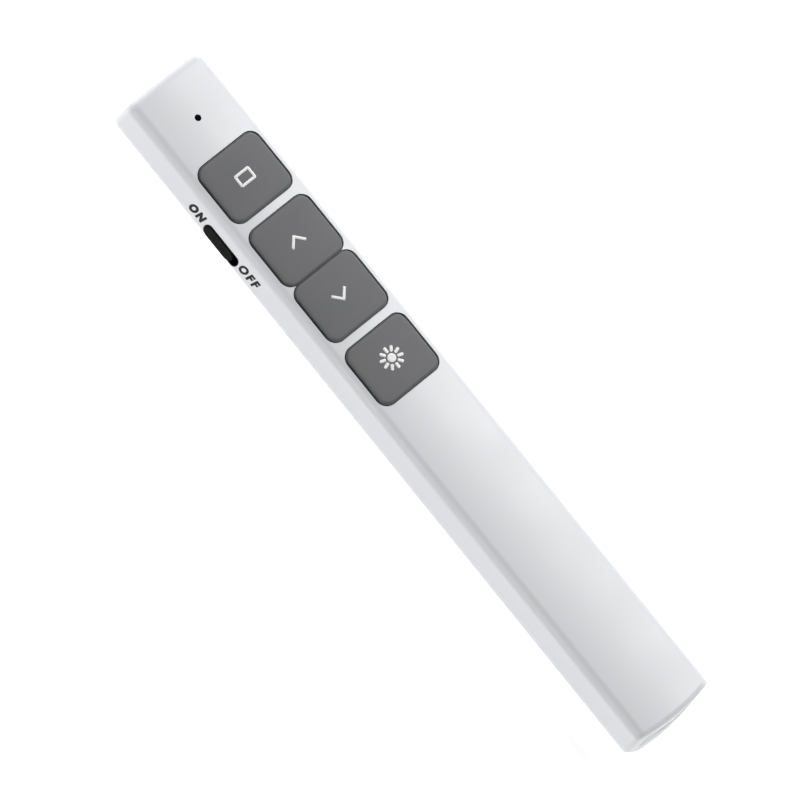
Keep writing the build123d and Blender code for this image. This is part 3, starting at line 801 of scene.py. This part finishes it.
@dataclass
class KeyCap:
    """One key: a square cap with rounded corners whose top follows the crown of the shell."""

    key: Key
    section: BodySection
    x: float = 0.09 * MM
    half_x: float = 7.06 * MM
    corner: float = 2.0 * MM
    proud: float = 0.26 * MM
    edge: float = 0.42 * MM
    lip_drop: float = 0.46 * MM
    foot: float = 10.9 * MM
    wall: float = 0.9 * MM
    skin: float = 1.2 * MM
    nip: float = 0.02 * MM
    hub: float = 0.03

    def surface(self) -> Array:
        """Rings of the cap, from the middle of its top round the edge to its hollow underside.

        On the top a ring is the outline shrunk towards the middle by s, at the crown's height.
        Round the edge, at the angle a, it is inset by edge * (1 - sin a) and dropped by
        edge * (1 - cos a). The lips lie lip_drop under the crown, where the outline of the top
        gives way to the longer one of the skirt. The wall, the foot, the inner wall and the
        underside follow, with corners nipped off by nip. The innermost ring of the top and of
        the underside is hub of the full size.

        Returns:
            An (r, n, 3) array.
        """
        y, half_y, tail_lip, nose_lip = (size * MM for size in self.key.value[:4])
        outline = RoundedOutline(self.half_x, half_y, self.corner)
        skirt = RoundedOutline(self.half_x, half_y + (tail_lip + nose_lip) / 2, self.corner)
        skirt.core[:, 1] += (nose_lip - tail_lip) / 2
        shrink = np.linspace(self.hub, 1, 9)
        bend = np.linspace(0, math.pi / 2, 7)
        rim = outline.ring(self.edge)
        rings = [self.on_crown(scale * rim, 0.0) for scale in shrink]
        rings += [
            self.on_crown(
                outline.ring(self.edge * (1 - math.sin(a))), self.edge * (1 - math.cos(a))
            )
            for a in bend[1:]
        ]
        full, inner, nip = skirt.ring(0.0), skirt.ring(self.wall), self.nip
        rings += [
            self.on_crown(outline.ring(0.0), self.lip_drop),
            self.on_crown(skirt.ring(nip), self.lip_drop + 0.5 * nip),
            self.on_crown(full, self.lip_drop + 1.5 * nip),
            self.level(full, self.foot + 5 * nip),
            self.level(skirt.ring(nip), self.foot),
            self.level(skirt.ring(self.wall - 2.5 * nip), self.foot),
            self.level(inner, self.foot + 2.5 * nip),
            self.on_crown(inner, self.skin),
            self.on_crown(0.5 * inner, self.skin),
            self.on_crown(self.hub * inner, self.skin),
        ]
        return np.stack(rings) + np.array([self.x, y, 0])

    def on_crown(self, flat: Array, drop: float) -> Array:
        """The flat ring at the height of the cap's crown, less drop."""
        up = self.section.crown_z(flat[:, 0] + self.x, self.proud) - drop
        return np.column_stack([flat, up])

    @staticmethod
    def level(flat: Array, z: float) -> Array:
        """The flat ring at one height."""
        return np.column_stack([flat, np.full(len(flat), z)])

    def build(self, plastic: Material, ink: Material) -> list[Piece]:
        """Make the cap and its mark, which ride on the key's own body.

        Args:
            plastic: the finish of the cap.
            ink: the finish of the mark.

        Returns:
            The cap and the mark.
        """
        node = f"key_{self.key.name.lower()}"
        cap = mesh_piece(f"{node}_cap", *closed_loft(self.surface()))
        cap.data.materials.append(plastic)
        mark = KeyMark(self.key, self.section, self.proud).build(f"{node}_mark")
        mark.data.materials.append(ink)
        for piece in (cap, mark):
            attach(piece, f"{node}_set")
        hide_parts(node)
        return [cap, mark]


@dataclass
class KeyRow(SubAssembly):
    """The four keys in a row, with the switches and plungers under them."""

    section: BodySection
    # Opaque ink, pad-printed: flat pure white with crisp edges and no shine of its own.
    ink: PadPrint = PadPrint("white pad print", "#ffffff", "#f8f8f8", 0.55)
    finishes = {
        # ABS from an eroded mould: a dry, even grey, on which only the rounded rims catch light.
        "key_fullscreen key_previous key_next key_laser": MouldedPlastic(
            "matt grey moulded ABS", "#747475", "#707173", 0.78, grain=0.18, depth=0.004
        ),
        # Glass-filled PBT: near black, so that the gaps between the keys stay dark.
        "switch_fullscreen switch_previous switch_next switch_laser": MouldedPlastic(
            "black moulded PBT", "#1b1c1e", "#222326", 0.5, grain=0.3
        ),
        # Acetal from a polished mould: ivory with a waxy gleam.
        "plunger_fullscreen plunger_previous plunger_next plunger_laser": MouldedPlastic(
            "white moulded acetal", "#e4e3dd", "#dcdbd4", 0.4, grain=0.3
        ),
    }

    def build(self) -> list[Piece]:
        """Dress the nodes and make a cap and a mark for each key."""
        plastic, ink = self.dress()["key_laser"], self.ink.material()
        return [piece for key in Key for piece in KeyCap(key, self.section).build(plastic, ink)]


# ---- printed words
class Word(Enum):
    """Word beside the slider: its start along Y, its length and how much bolder its strokes are."""

    ON = ("ON", 54.10 * MM, 4.20 * MM, 0.078)
    OFF = ("OFF", 39.70 * MM, 5.30 * MM, 0.062)


@dataclass
class FlankWord:
    """Black word printed on the left flank, read from the left hand side."""

    word: Word
    section: BodySection
    foot: float = 7.42 * MM
    cap_height: float = 2.82 * MM
    film: float = 0.012 * MM
    slant: float = 0.13
    spacing: float = 1.36

    def build(self, ink: Material) -> Piece:
        """Set the word, make it a mesh and lay it on the leaning flank.

        A letter's point at s along the line and h above it goes to y = start - s, at h up the
        flank from the foot line, just outside the surface.

        Args:
            ink: the finish of the letters.

        Returns:
            The printed word.
        """
        text, start, length, weight = self.word.value
        curve = bpy.data.curves.new(f"word_{text}", "FONT")
        curve.body = text
        curve.offset = weight
        curve.space_character = self.spacing
        curve.extrude = 0.5  # any thickness does, because film takes its place below
        curve.resolution_u = 8
        setter = add_object(f"setter_{text}", curve)
        bpy.context.view_layer.update()
        mesh = bpy.data.meshes.new_from_object(setter)
        bpy.data.objects.remove(setter)
        flat = np.empty(len(mesh.vertices) * 3)
        mesh.vertices.foreach_get("co", flat)
        flat = flat.reshape(-1, 3)
        low, high = flat.min(0), flat.max(0)
        unit = (flat - low) / (high - low)
        rise = unit[:, 1] * self.cap_height
        lead = self.slant * self.cap_height
        run = unit[:, 0] * (length - lead) + rise * self.slant
        lift = (unit[:, 2] * 2 - 1) * self.film
        lean = math.radians(self.section.lean)
        foot_x = -self.section.flank_x(self.foot)
        placed = np.column_stack(
            [
                foot_x + rise * math.sin(lean) - lift * math.cos(lean),
                start - run,
                self.foot + rise * math.cos(lean) + lift * math.sin(lean),
            ]
        )
        mesh.vertices.foreach_set("co", placed.ravel())
        mesh.update()
        piece = add_object(f"printed_{text.lower()}", mesh)
        mesh.materials.clear()
        mesh.materials.append(ink)
        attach(piece, "housing")
        return piece


# ---- sub-assemblies
@dataclass
class Housing(SubAssembly):
    """The two shells, their screws and the light guide, with the two printed words."""

    section: BodySection
    # Opaque ink, pad-printed: soft black that doesn't shine with the flank.
    ink: PadPrint = PadPrint("black pad print", "#17181c", "#26272c", 0.55)
    finishes = {
        # ABS from a fine mould: clean white, with a broad satin sheen that shows the crown.
        # The slider's slot in it gets near-black painted shade.
        "upper_shell lower_shell": ShellPlastic(
            "satin white moulded ABS", "#e6e8eb", "#e4e6e9", 0.40, grain=0.2
        ),
        # Steel, tumbled and zinc-plated: bluish grey with a frosty, even glint.
        "shell_screws board_screws": WorkedMetal(
            "zinc-plated steel", "#b9bcc0", "#a3a6ab", 0.34, grain=(0.3, 0.3, 0.3)
        ),
        # Smoked acrylic, frosted on top: a dead black dot while the lamp under it is off.
        "light_guide": Acrylic(
            "smoked acrylic", "#010101", "#030303", 0.5, transmission=0.0, gleam=0.02
        ),
    }

    def build(self) -> list[Piece]:
        """Dress the nodes and print the two words.

        Returns:
            The words.
        """
        self.dress()
        ink = self.ink.material()
        return [FlankWord(word, self.section).build(ink) for word in Word]


@dataclass
class SlideKnob:
    """The slider's knob and its flange: a stadium that follows the side of the shells."""

    section: BodySection
    middle: Pair = (45.325 * MM, 8.0 * MM)
    half_length: float = 3.975 * MM
    half_height: float = 1.6 * MM
    proud: float = 0.28 * MM
    edge: float = 0.32 * MM
    back: float = 7.8 * MM
    ridge_pitch: float = 0.85 * MM
    ridge_depth: float = 0.11 * MM
    ridge_count: int = 7
    flange_half: Pair = (4.775 * MM, 2.05 * MM)
    flange_corner: float = 0.8 * MM
    flange_thickness: float = 0.5 * MM
    blunt: float = 0.06
    ridge_sharpness: int = 8

    def knob(self) -> Skin:
        """Closed profiles carried along Y.

        At y from the middle, the profile is half as high as sqrt(h^2 - (|y| - (l - h))^2), or h
        on the straight run. Its front follows the side, proud of it, less the edge's rounding
        e - sqrt(e^2 - (e - d)^2) at the distance d from the outline, and less the ridges'
        grooves depth * (cos(pi y / pitch))^n, which fade out towards the outline. Its two ends
        stop blunt radians short of a point.

        Returns:
            The points and the faces.
        """
        straight = self.half_length - self.half_height
        turn = np.linspace(self.blunt, math.pi / 2, 12, endpoint=False)
        bend = self.half_height * np.cos(turn)
        run = np.linspace(-straight, straight, 121)
        y = np.concatenate([-straight - bend, run, straight + bend[::-1]])
        over = np.maximum(np.abs(y) - straight, 0)
        tall = np.sqrt(self.half_height**2 - over**2)
        v = np.sin(np.linspace(-math.pi / 2, math.pi / 2, 23))
        rise = tall[:, None] * v
        inside = np.maximum(self.half_height - np.hypot(over[:, None], rise), 0)
        short = self.edge - np.minimum(inside, self.edge)
        drop = self.edge - np.sqrt(self.edge**2 - short**2)
        groove = np.cos(math.pi * y / self.ridge_pitch) ** self.ridge_sharpness
        groove *= np.abs(y) < self.ridge_count / 2 * self.ridge_pitch
        fade = np.clip((inside - self.edge / 2) / self.edge, 0, 1)
        proud = self.proud - drop - self.ridge_depth * groove[:, None] * fade
        z = self.middle[1] + rise
        front = np.stack([-self.section.side_x(z, proud), y[:, None] + 0 * z, z], -1)
        behind = front[:, ::-2].copy()
        behind[..., 0] = -self.back
        rings = np.concatenate([front, behind], 1) + np.array([0, self.middle[0], 0])
        return closed_loft(rings)

    def flange(self) -> Skin:
        """Rounded plate behind the shell's wall: one outline at its front and its back.

        Returns:
            The points and the faces.
        """
        outline = RoundedOutline(*self.flange_half, self.flange_corner).ring(0.0)
        place = outline + np.array(self.middle)
        rings = [
            np.column_stack([np.full(len(place), -depth), place])
            for depth in (self.back, self.back - self.flange_thickness)
        ]
        return closed_loft(np.stack(rings))

    def build(self, plastic: Material) -> list[Piece]:
        """Make both pieces, which ride with the slider and stand for its node.

        Args:
            plastic: the finish.

        Returns:
            The knob and the flange.
        """
        pieces = []
        for name, skin in (("slider_knob", self.knob()), ("slider_flange", self.flange())):
            piece = mesh_piece(name, *skin)
            piece.data.materials.append(plastic)
            face_outwards(piece)
            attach(piece, "slider")
            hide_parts("on_off_slider")
            pieces.append(piece)
        return pieces


@dataclass
class SideSlider(SubAssembly):
    """On/off slider, its switch and the lever between them."""

    section: BodySection
    finishes = {
        # Acetal from a rough mould: deep black that stays dull even on the ridges.
        "on_off_slider switch_lever": MouldedPlastic(
            "black moulded acetal", "#0e0e0f", "#131314", 0.6, grain=0.2, gleam=0.07
        ),
        # Tinned sheet, rolled across: a bright can with faint rolling lines.
        "slide_switch": WorkedMetal(
            "tinned steel sheet", "#b5b6b4", "#a2a3a2", 0.3, grain=(1.5, 0.08, 1.5)
        ),
    }

    def build(self) -> list[Piece]:
        """Dress the nodes and make the slider's own shape."""
        return SlideKnob(self.section).build(self.dress()["on_off_slider"])


class Nose(SubAssembly):
    """Laser module behind its window."""

    finishes = {
        # Tinted acrylic, polished: almost black, with a hint of red where light enters.
        "laser_window": Acrylic("dark red acrylic", "#1c0507", "#2a070a", 0.05, transmission=0.25),
        # Clear acrylic, polished: a drop of glass in the barrel.
        "laser_lens": Acrylic("clear acrylic", "#f2f4f6", "#e8ecf0", 0.03, transmission=0.9),
        # Brass turned round Y: warm yellow rings of tool marks.
        "laser_barrel": WorkedMetal(
            "turned brass", "#c9a45a", "#b08a45", 0.3, grain=(4.0, 0.09, 4.0)
        ),
    }


class CircuitBoard(SubAssembly):
    """Main board, laser board and the parts on them."""

    finishes = {
        # Lacquer cured over etched copper: glossy green, lighter where the tracks run.
        "main_board laser_board": SolderMask("green solder mask", "#12502f", "#1f7446", 0.28),
        # Epoxy pressed round the chip: charcoal with a fine, dry grain.
        "radio_chip": MouldedPlastic(
            "black epoxy mould compound", "#1a1b1d", "#202225", 0.55, grain=0.12
        ),
        # Ceramic, pressed and fired: chalky off-white.
        "antenna": MouldedPlastic("fired white ceramic", "#d8d5c6", "#cfccbc", 0.5, grain=0.1),
        # Steel can, drawn and nickel-plated: warm bright metal, brushed along Y.
        "crystal": WorkedMetal(
            "nickel-plated can", "#c5c1b6", "#aeaaa0", 0.25, grain=(0.08, 1.2, 0.08)
        ),
        # Clear epoxy, cast: milky and half see-through.
        "indicator_led": Acrylic("clear epoxy", "#ecebe2", "#e2e0d2", 0.15, transmission=0.4),
    }


@dataclass
class BatteryBay(SubAssembly):
    """Door, cell with its printed sleeve, and the two contacts."""

    cell_z: float = 6.65 * MM
    sleeve_radius: float = 5.22 * MM
    sleeve_tail: float = -48.6 * MM
    sleeve_nose: float = -4.9 * MM
    shoulder: float = 0.55 * MM
    sleeve_wall: float = 0.35 * MM
    # PVC film, shrunk on and printed inside: dark blue with a silver end under a gloss.
    sleeve_finish: ShrinkSleeve = ShrinkSleeve(
        "printed shrink sleeve", "#23405a", "#c9ccd0", 0.2, band_from=-15.0
    )
    finishes = {
        # The shells' ABS, without their parting line: the same satin white.
        "battery_door": MouldedPlastic(
            "satin white moulded ABS door", "#e5e7ea", "#e3e5e8", 0.40, grain=0.2
        ),
        # Steel can, drawn along Y: bright, with long fine scores.
        "battery": WorkedMetal(
            "drawn steel can", "#bfc0c2", "#a9abae", 0.26, grain=(0.12, 2.5, 0.12)
        ),
        # Spring steel, nickel-plated: warm, nearly mirror bright.
        "contact_plate contact_spring": WorkedMetal(
            "nickel-plated spring steel", "#cbc7bd", "#b5b1a7", 0.22, grain=(0.1, 0.1, 1.5)
        ),
    }

    def sleeve(self) -> Piece:
        """Sleeve of the cell: a circle carried along Y, drawn in over both shoulders.

        Ring i has the radius sleeve_radius, less shoulder * (1 - sqrt(1 - q * q)), where q runs
        from 1 to 0 over each shoulder. Inside it, a smaller tube closes the wall. The circle
        runs anticlockwise seen from the nose, so that the faces look outwards.

        Returns:
            The sleeve.
        """
        q = np.linspace(1, 0, 6)
        draw_in = self.shoulder * (1 - np.sqrt(1 - q**2))
        tail = self.sleeve_tail + self.shoulder * (1 - q)
        nose = self.sleeve_nose - self.shoulder * (1 - q)
        along = np.concatenate([nose, tail[::-1], [self.sleeve_tail, self.sleeve_nose]])
        inner = self.sleeve_radius - self.shoulder - self.sleeve_wall
        outer = self.sleeve_radius - np.concatenate([draw_in, draw_in[::-1]])
        radius = np.concatenate([outer, [inner, inner]])[:, None]
        turn = np.linspace(2 * math.pi, 0, 64, endpoint=False)
        grid = np.stack(
            [
                radius * np.cos(turn),
                along[:, None] + 0 * turn,
                self.cell_z + radius * np.sin(turn),
            ],
            -1,
        )
        faces = sheet_faces(len(along), len(turn), closed=True, tube=True)
        return mesh_piece("battery_sleeve", grid.reshape(-1, 3), faces)

    def build(self) -> list[Piece]:
        """Dress the door, the can and the contacts, and make the sleeve.

        Returns:
            The sleeve.
        """
        self.dress()
        sleeve = self.sleeve()
        sleeve.data.materials.append(self.sleeve_finish.material())
        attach(sleeve, "housing")
        return [sleeve]


class Receiver(SubAssembly):
    """USB receiver in its dock in the tail."""

    finishes = {
        # ABS like the shells', tinted: a shade darker, so that the grip reads as its own part.
        "receiver_grip": MouldedPlastic(
            "satin pale grey moulded ABS", "#cdced1", "#c8c9cd", 0.45, grain=0.2
        ),
        # Polystyrene, moulded plain: flat white inside the tail.
        "receiver_dock": MouldedPlastic(
            "white moulded polystyrene", "#e2e2e2", "#dadada", 0.45, grain=0.3
        ),
        # Sheet steel, folded and nickel-plated: soft silver with lines along the plug.
        "receiver_plug": WorkedMetal(
            "nickel-plated steel sheet", "#dbd9d4", "#c8c6c1", 0.42, grain=(0.06, 2.5, 0.06)
        ),
        # Glass-filled nylon: dull black under the strips.
        "receiver_tongue": MouldedPlastic(
            "black moulded nylon", "#1a1b1e", "#222327", 0.45, grain=0.3
        ),
        # Bronze strip, rolled and gilt: four small golden gleams.
        "receiver_contact_strips": WorkedMetal(
            "gold-plated phosphor bronze", "#e3bd62", "#d0a84e", 0.2, grain=(0.06, 1.5, 0.06)
        ),
    }


# ---- studio
@dataclass
class Softbox:
    """One square area light that looks at the middle of the clicker."""

    name: str
    bearing: Triple
    power: float
    distance: float = 0.9
    size: float = 0.4

    def build(self) -> Piece:
        """Place the light at distance along bearing and turn it to the clicker.

        Returns:
            The light.
        """
        lamp = bpy.data.lights.new(self.name, "AREA")
        lamp.shape = "SQUARE"
        lamp.size = self.size
        lamp.energy = self.power
        light = add_object(self.name, lamp)
        outward = Vector(self.bearing).normalized()
        turned = outward.to_track_quat("Z", "Y").to_matrix().to_4x4()
        light.matrix_world = Matrix.Translation(outward * self.distance) @ turned
        return light


@dataclass
class Studio:
    """Pale floor, soft lights and the camera above the left hand side."""

    floor_half: float = 6.0
    floor_drop: float = 0.02 * MM
    roll: float = 22.0
    turn: float = 38.9595
    aim: Triple = (-1.178 * MM, 2.345 * MM, 7.0 * MM)
    frame_width: float = 145.9 * MM
    lens: float = 400.0
    film_width: float = 36.0
    farthest: float = 50.0
    sky: float = 0.01
    sky_colour: str = "#fbfcff"
    # Paper without gloss: it ends in plain white all round the clicker.
    paper: Backdrop = Backdrop("white seamless paper", "#fbfbfb", glow=0.61)
    lights: tuple[Softbox, ...] = (
        Softbox("key_light", (0.574, 0.0, 0.819), 4.8),
        Softbox("right_nose_light", (0.770, 0.574, 0.280), 2.95),
        Softbox("right_tail_light", (0.770, -0.574, 0.280), 2.1),
        Softbox("nose_light", (0.0, 0.990, 0.139), 1.75),
        Softbox("nose_fill", (-0.332, 0.883, 0.332), 0.85),
        Softbox("side_fill", (-0.906, 0.0, 0.423), 2.75),
    )

    def floor(self) -> Piece:
        """Flat square floor just under the clicker's back, as a grid of points.

        Returns:
            The floor, which is stage and not part of the clicker.
        """
        side = np.linspace(-self.floor_half, self.floor_half, 3)
        x, y = np.meshgrid(side, side, indexing="ij")
        points = np.stack([x, y, np.full_like(x, -self.floor_drop)], -1).reshape(-1, 3)
        piece = mesh_piece("studio_floor", points, sheet_faces(*x.shape))
        piece.data.materials.append(self.paper.material())
        return piece

    def camera(self) -> Piece:
        """Camera that looks down on the clicker, rolled so that the nose points up and left.

        Its back direction leans roll degrees to the left of the vertical. Its up direction
        turns by turn degrees from the clicker's axis towards the direction across it.

        Returns:
            The camera.
        """
        lean, turn = math.radians(self.roll), math.radians(self.turn)
        along = Vector((0, 1, 0))
        across = Vector((math.cos(lean), 0, math.sin(lean)))
        back = Vector((-math.sin(lean), 0, math.cos(lean)))
        right = across * math.cos(turn) - along * math.sin(turn)
        up = across * math.sin(turn) + along * math.cos(turn)
        optics = bpy.data.cameras.new("camera")
        optics.lens = self.lens
        optics.sensor_width = self.film_width
        optics.clip_end = self.farthest
        place = Vector(self.aim) + back * (self.frame_width * self.lens / self.film_width)
        camera = add_object("camera", optics)
        camera.matrix_world = Matrix(
            [[right[i], up[i], back[i], place[i]] for i in range(3)] + [[0, 0, 0, 1]]
        )
        bpy.context.scene.camera = camera
        return camera

    def sky_light(self) -> None:
        """Even white light from all round, and the plain display transform."""
        world = bpy.data.worlds.new("studio")
        world.use_nodes = True
        sky = world.node_tree.nodes["Background"]
        sky.inputs["Color"].default_value = linear(self.sky_colour)
        sky.inputs["Strength"].default_value = self.sky
        bpy.context.scene.world = world
        bpy.context.scene.view_settings.view_transform = "Standard"

    def build(self) -> list[Piece]:
        """Make the floor, the lights and the camera.

        Returns:
            All of them.
        """
        self.sky_light()
        lights = [light.build() for light in self.lights]
        return [self.floor(), *lights, self.camera()]


def main() -> None:
    """Build every sub-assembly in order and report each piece."""
    logging.basicConfig(level=logging.INFO, format="%(name)s: %(message)s")
    section = BodySection()
    for part in (
        Studio(),
        Housing(section),
        KeyRow(section),
        SideSlider(section),
        Nose(),
        CircuitBoard(),
        BatteryBay(),
        Receiver(),
    ):
        pieces = part.build()
        LOG.info("%s: %s", type(part).__name__, [piece.name for piece in pieces] or "finishes")


if __name__ == "__main__":
    main()
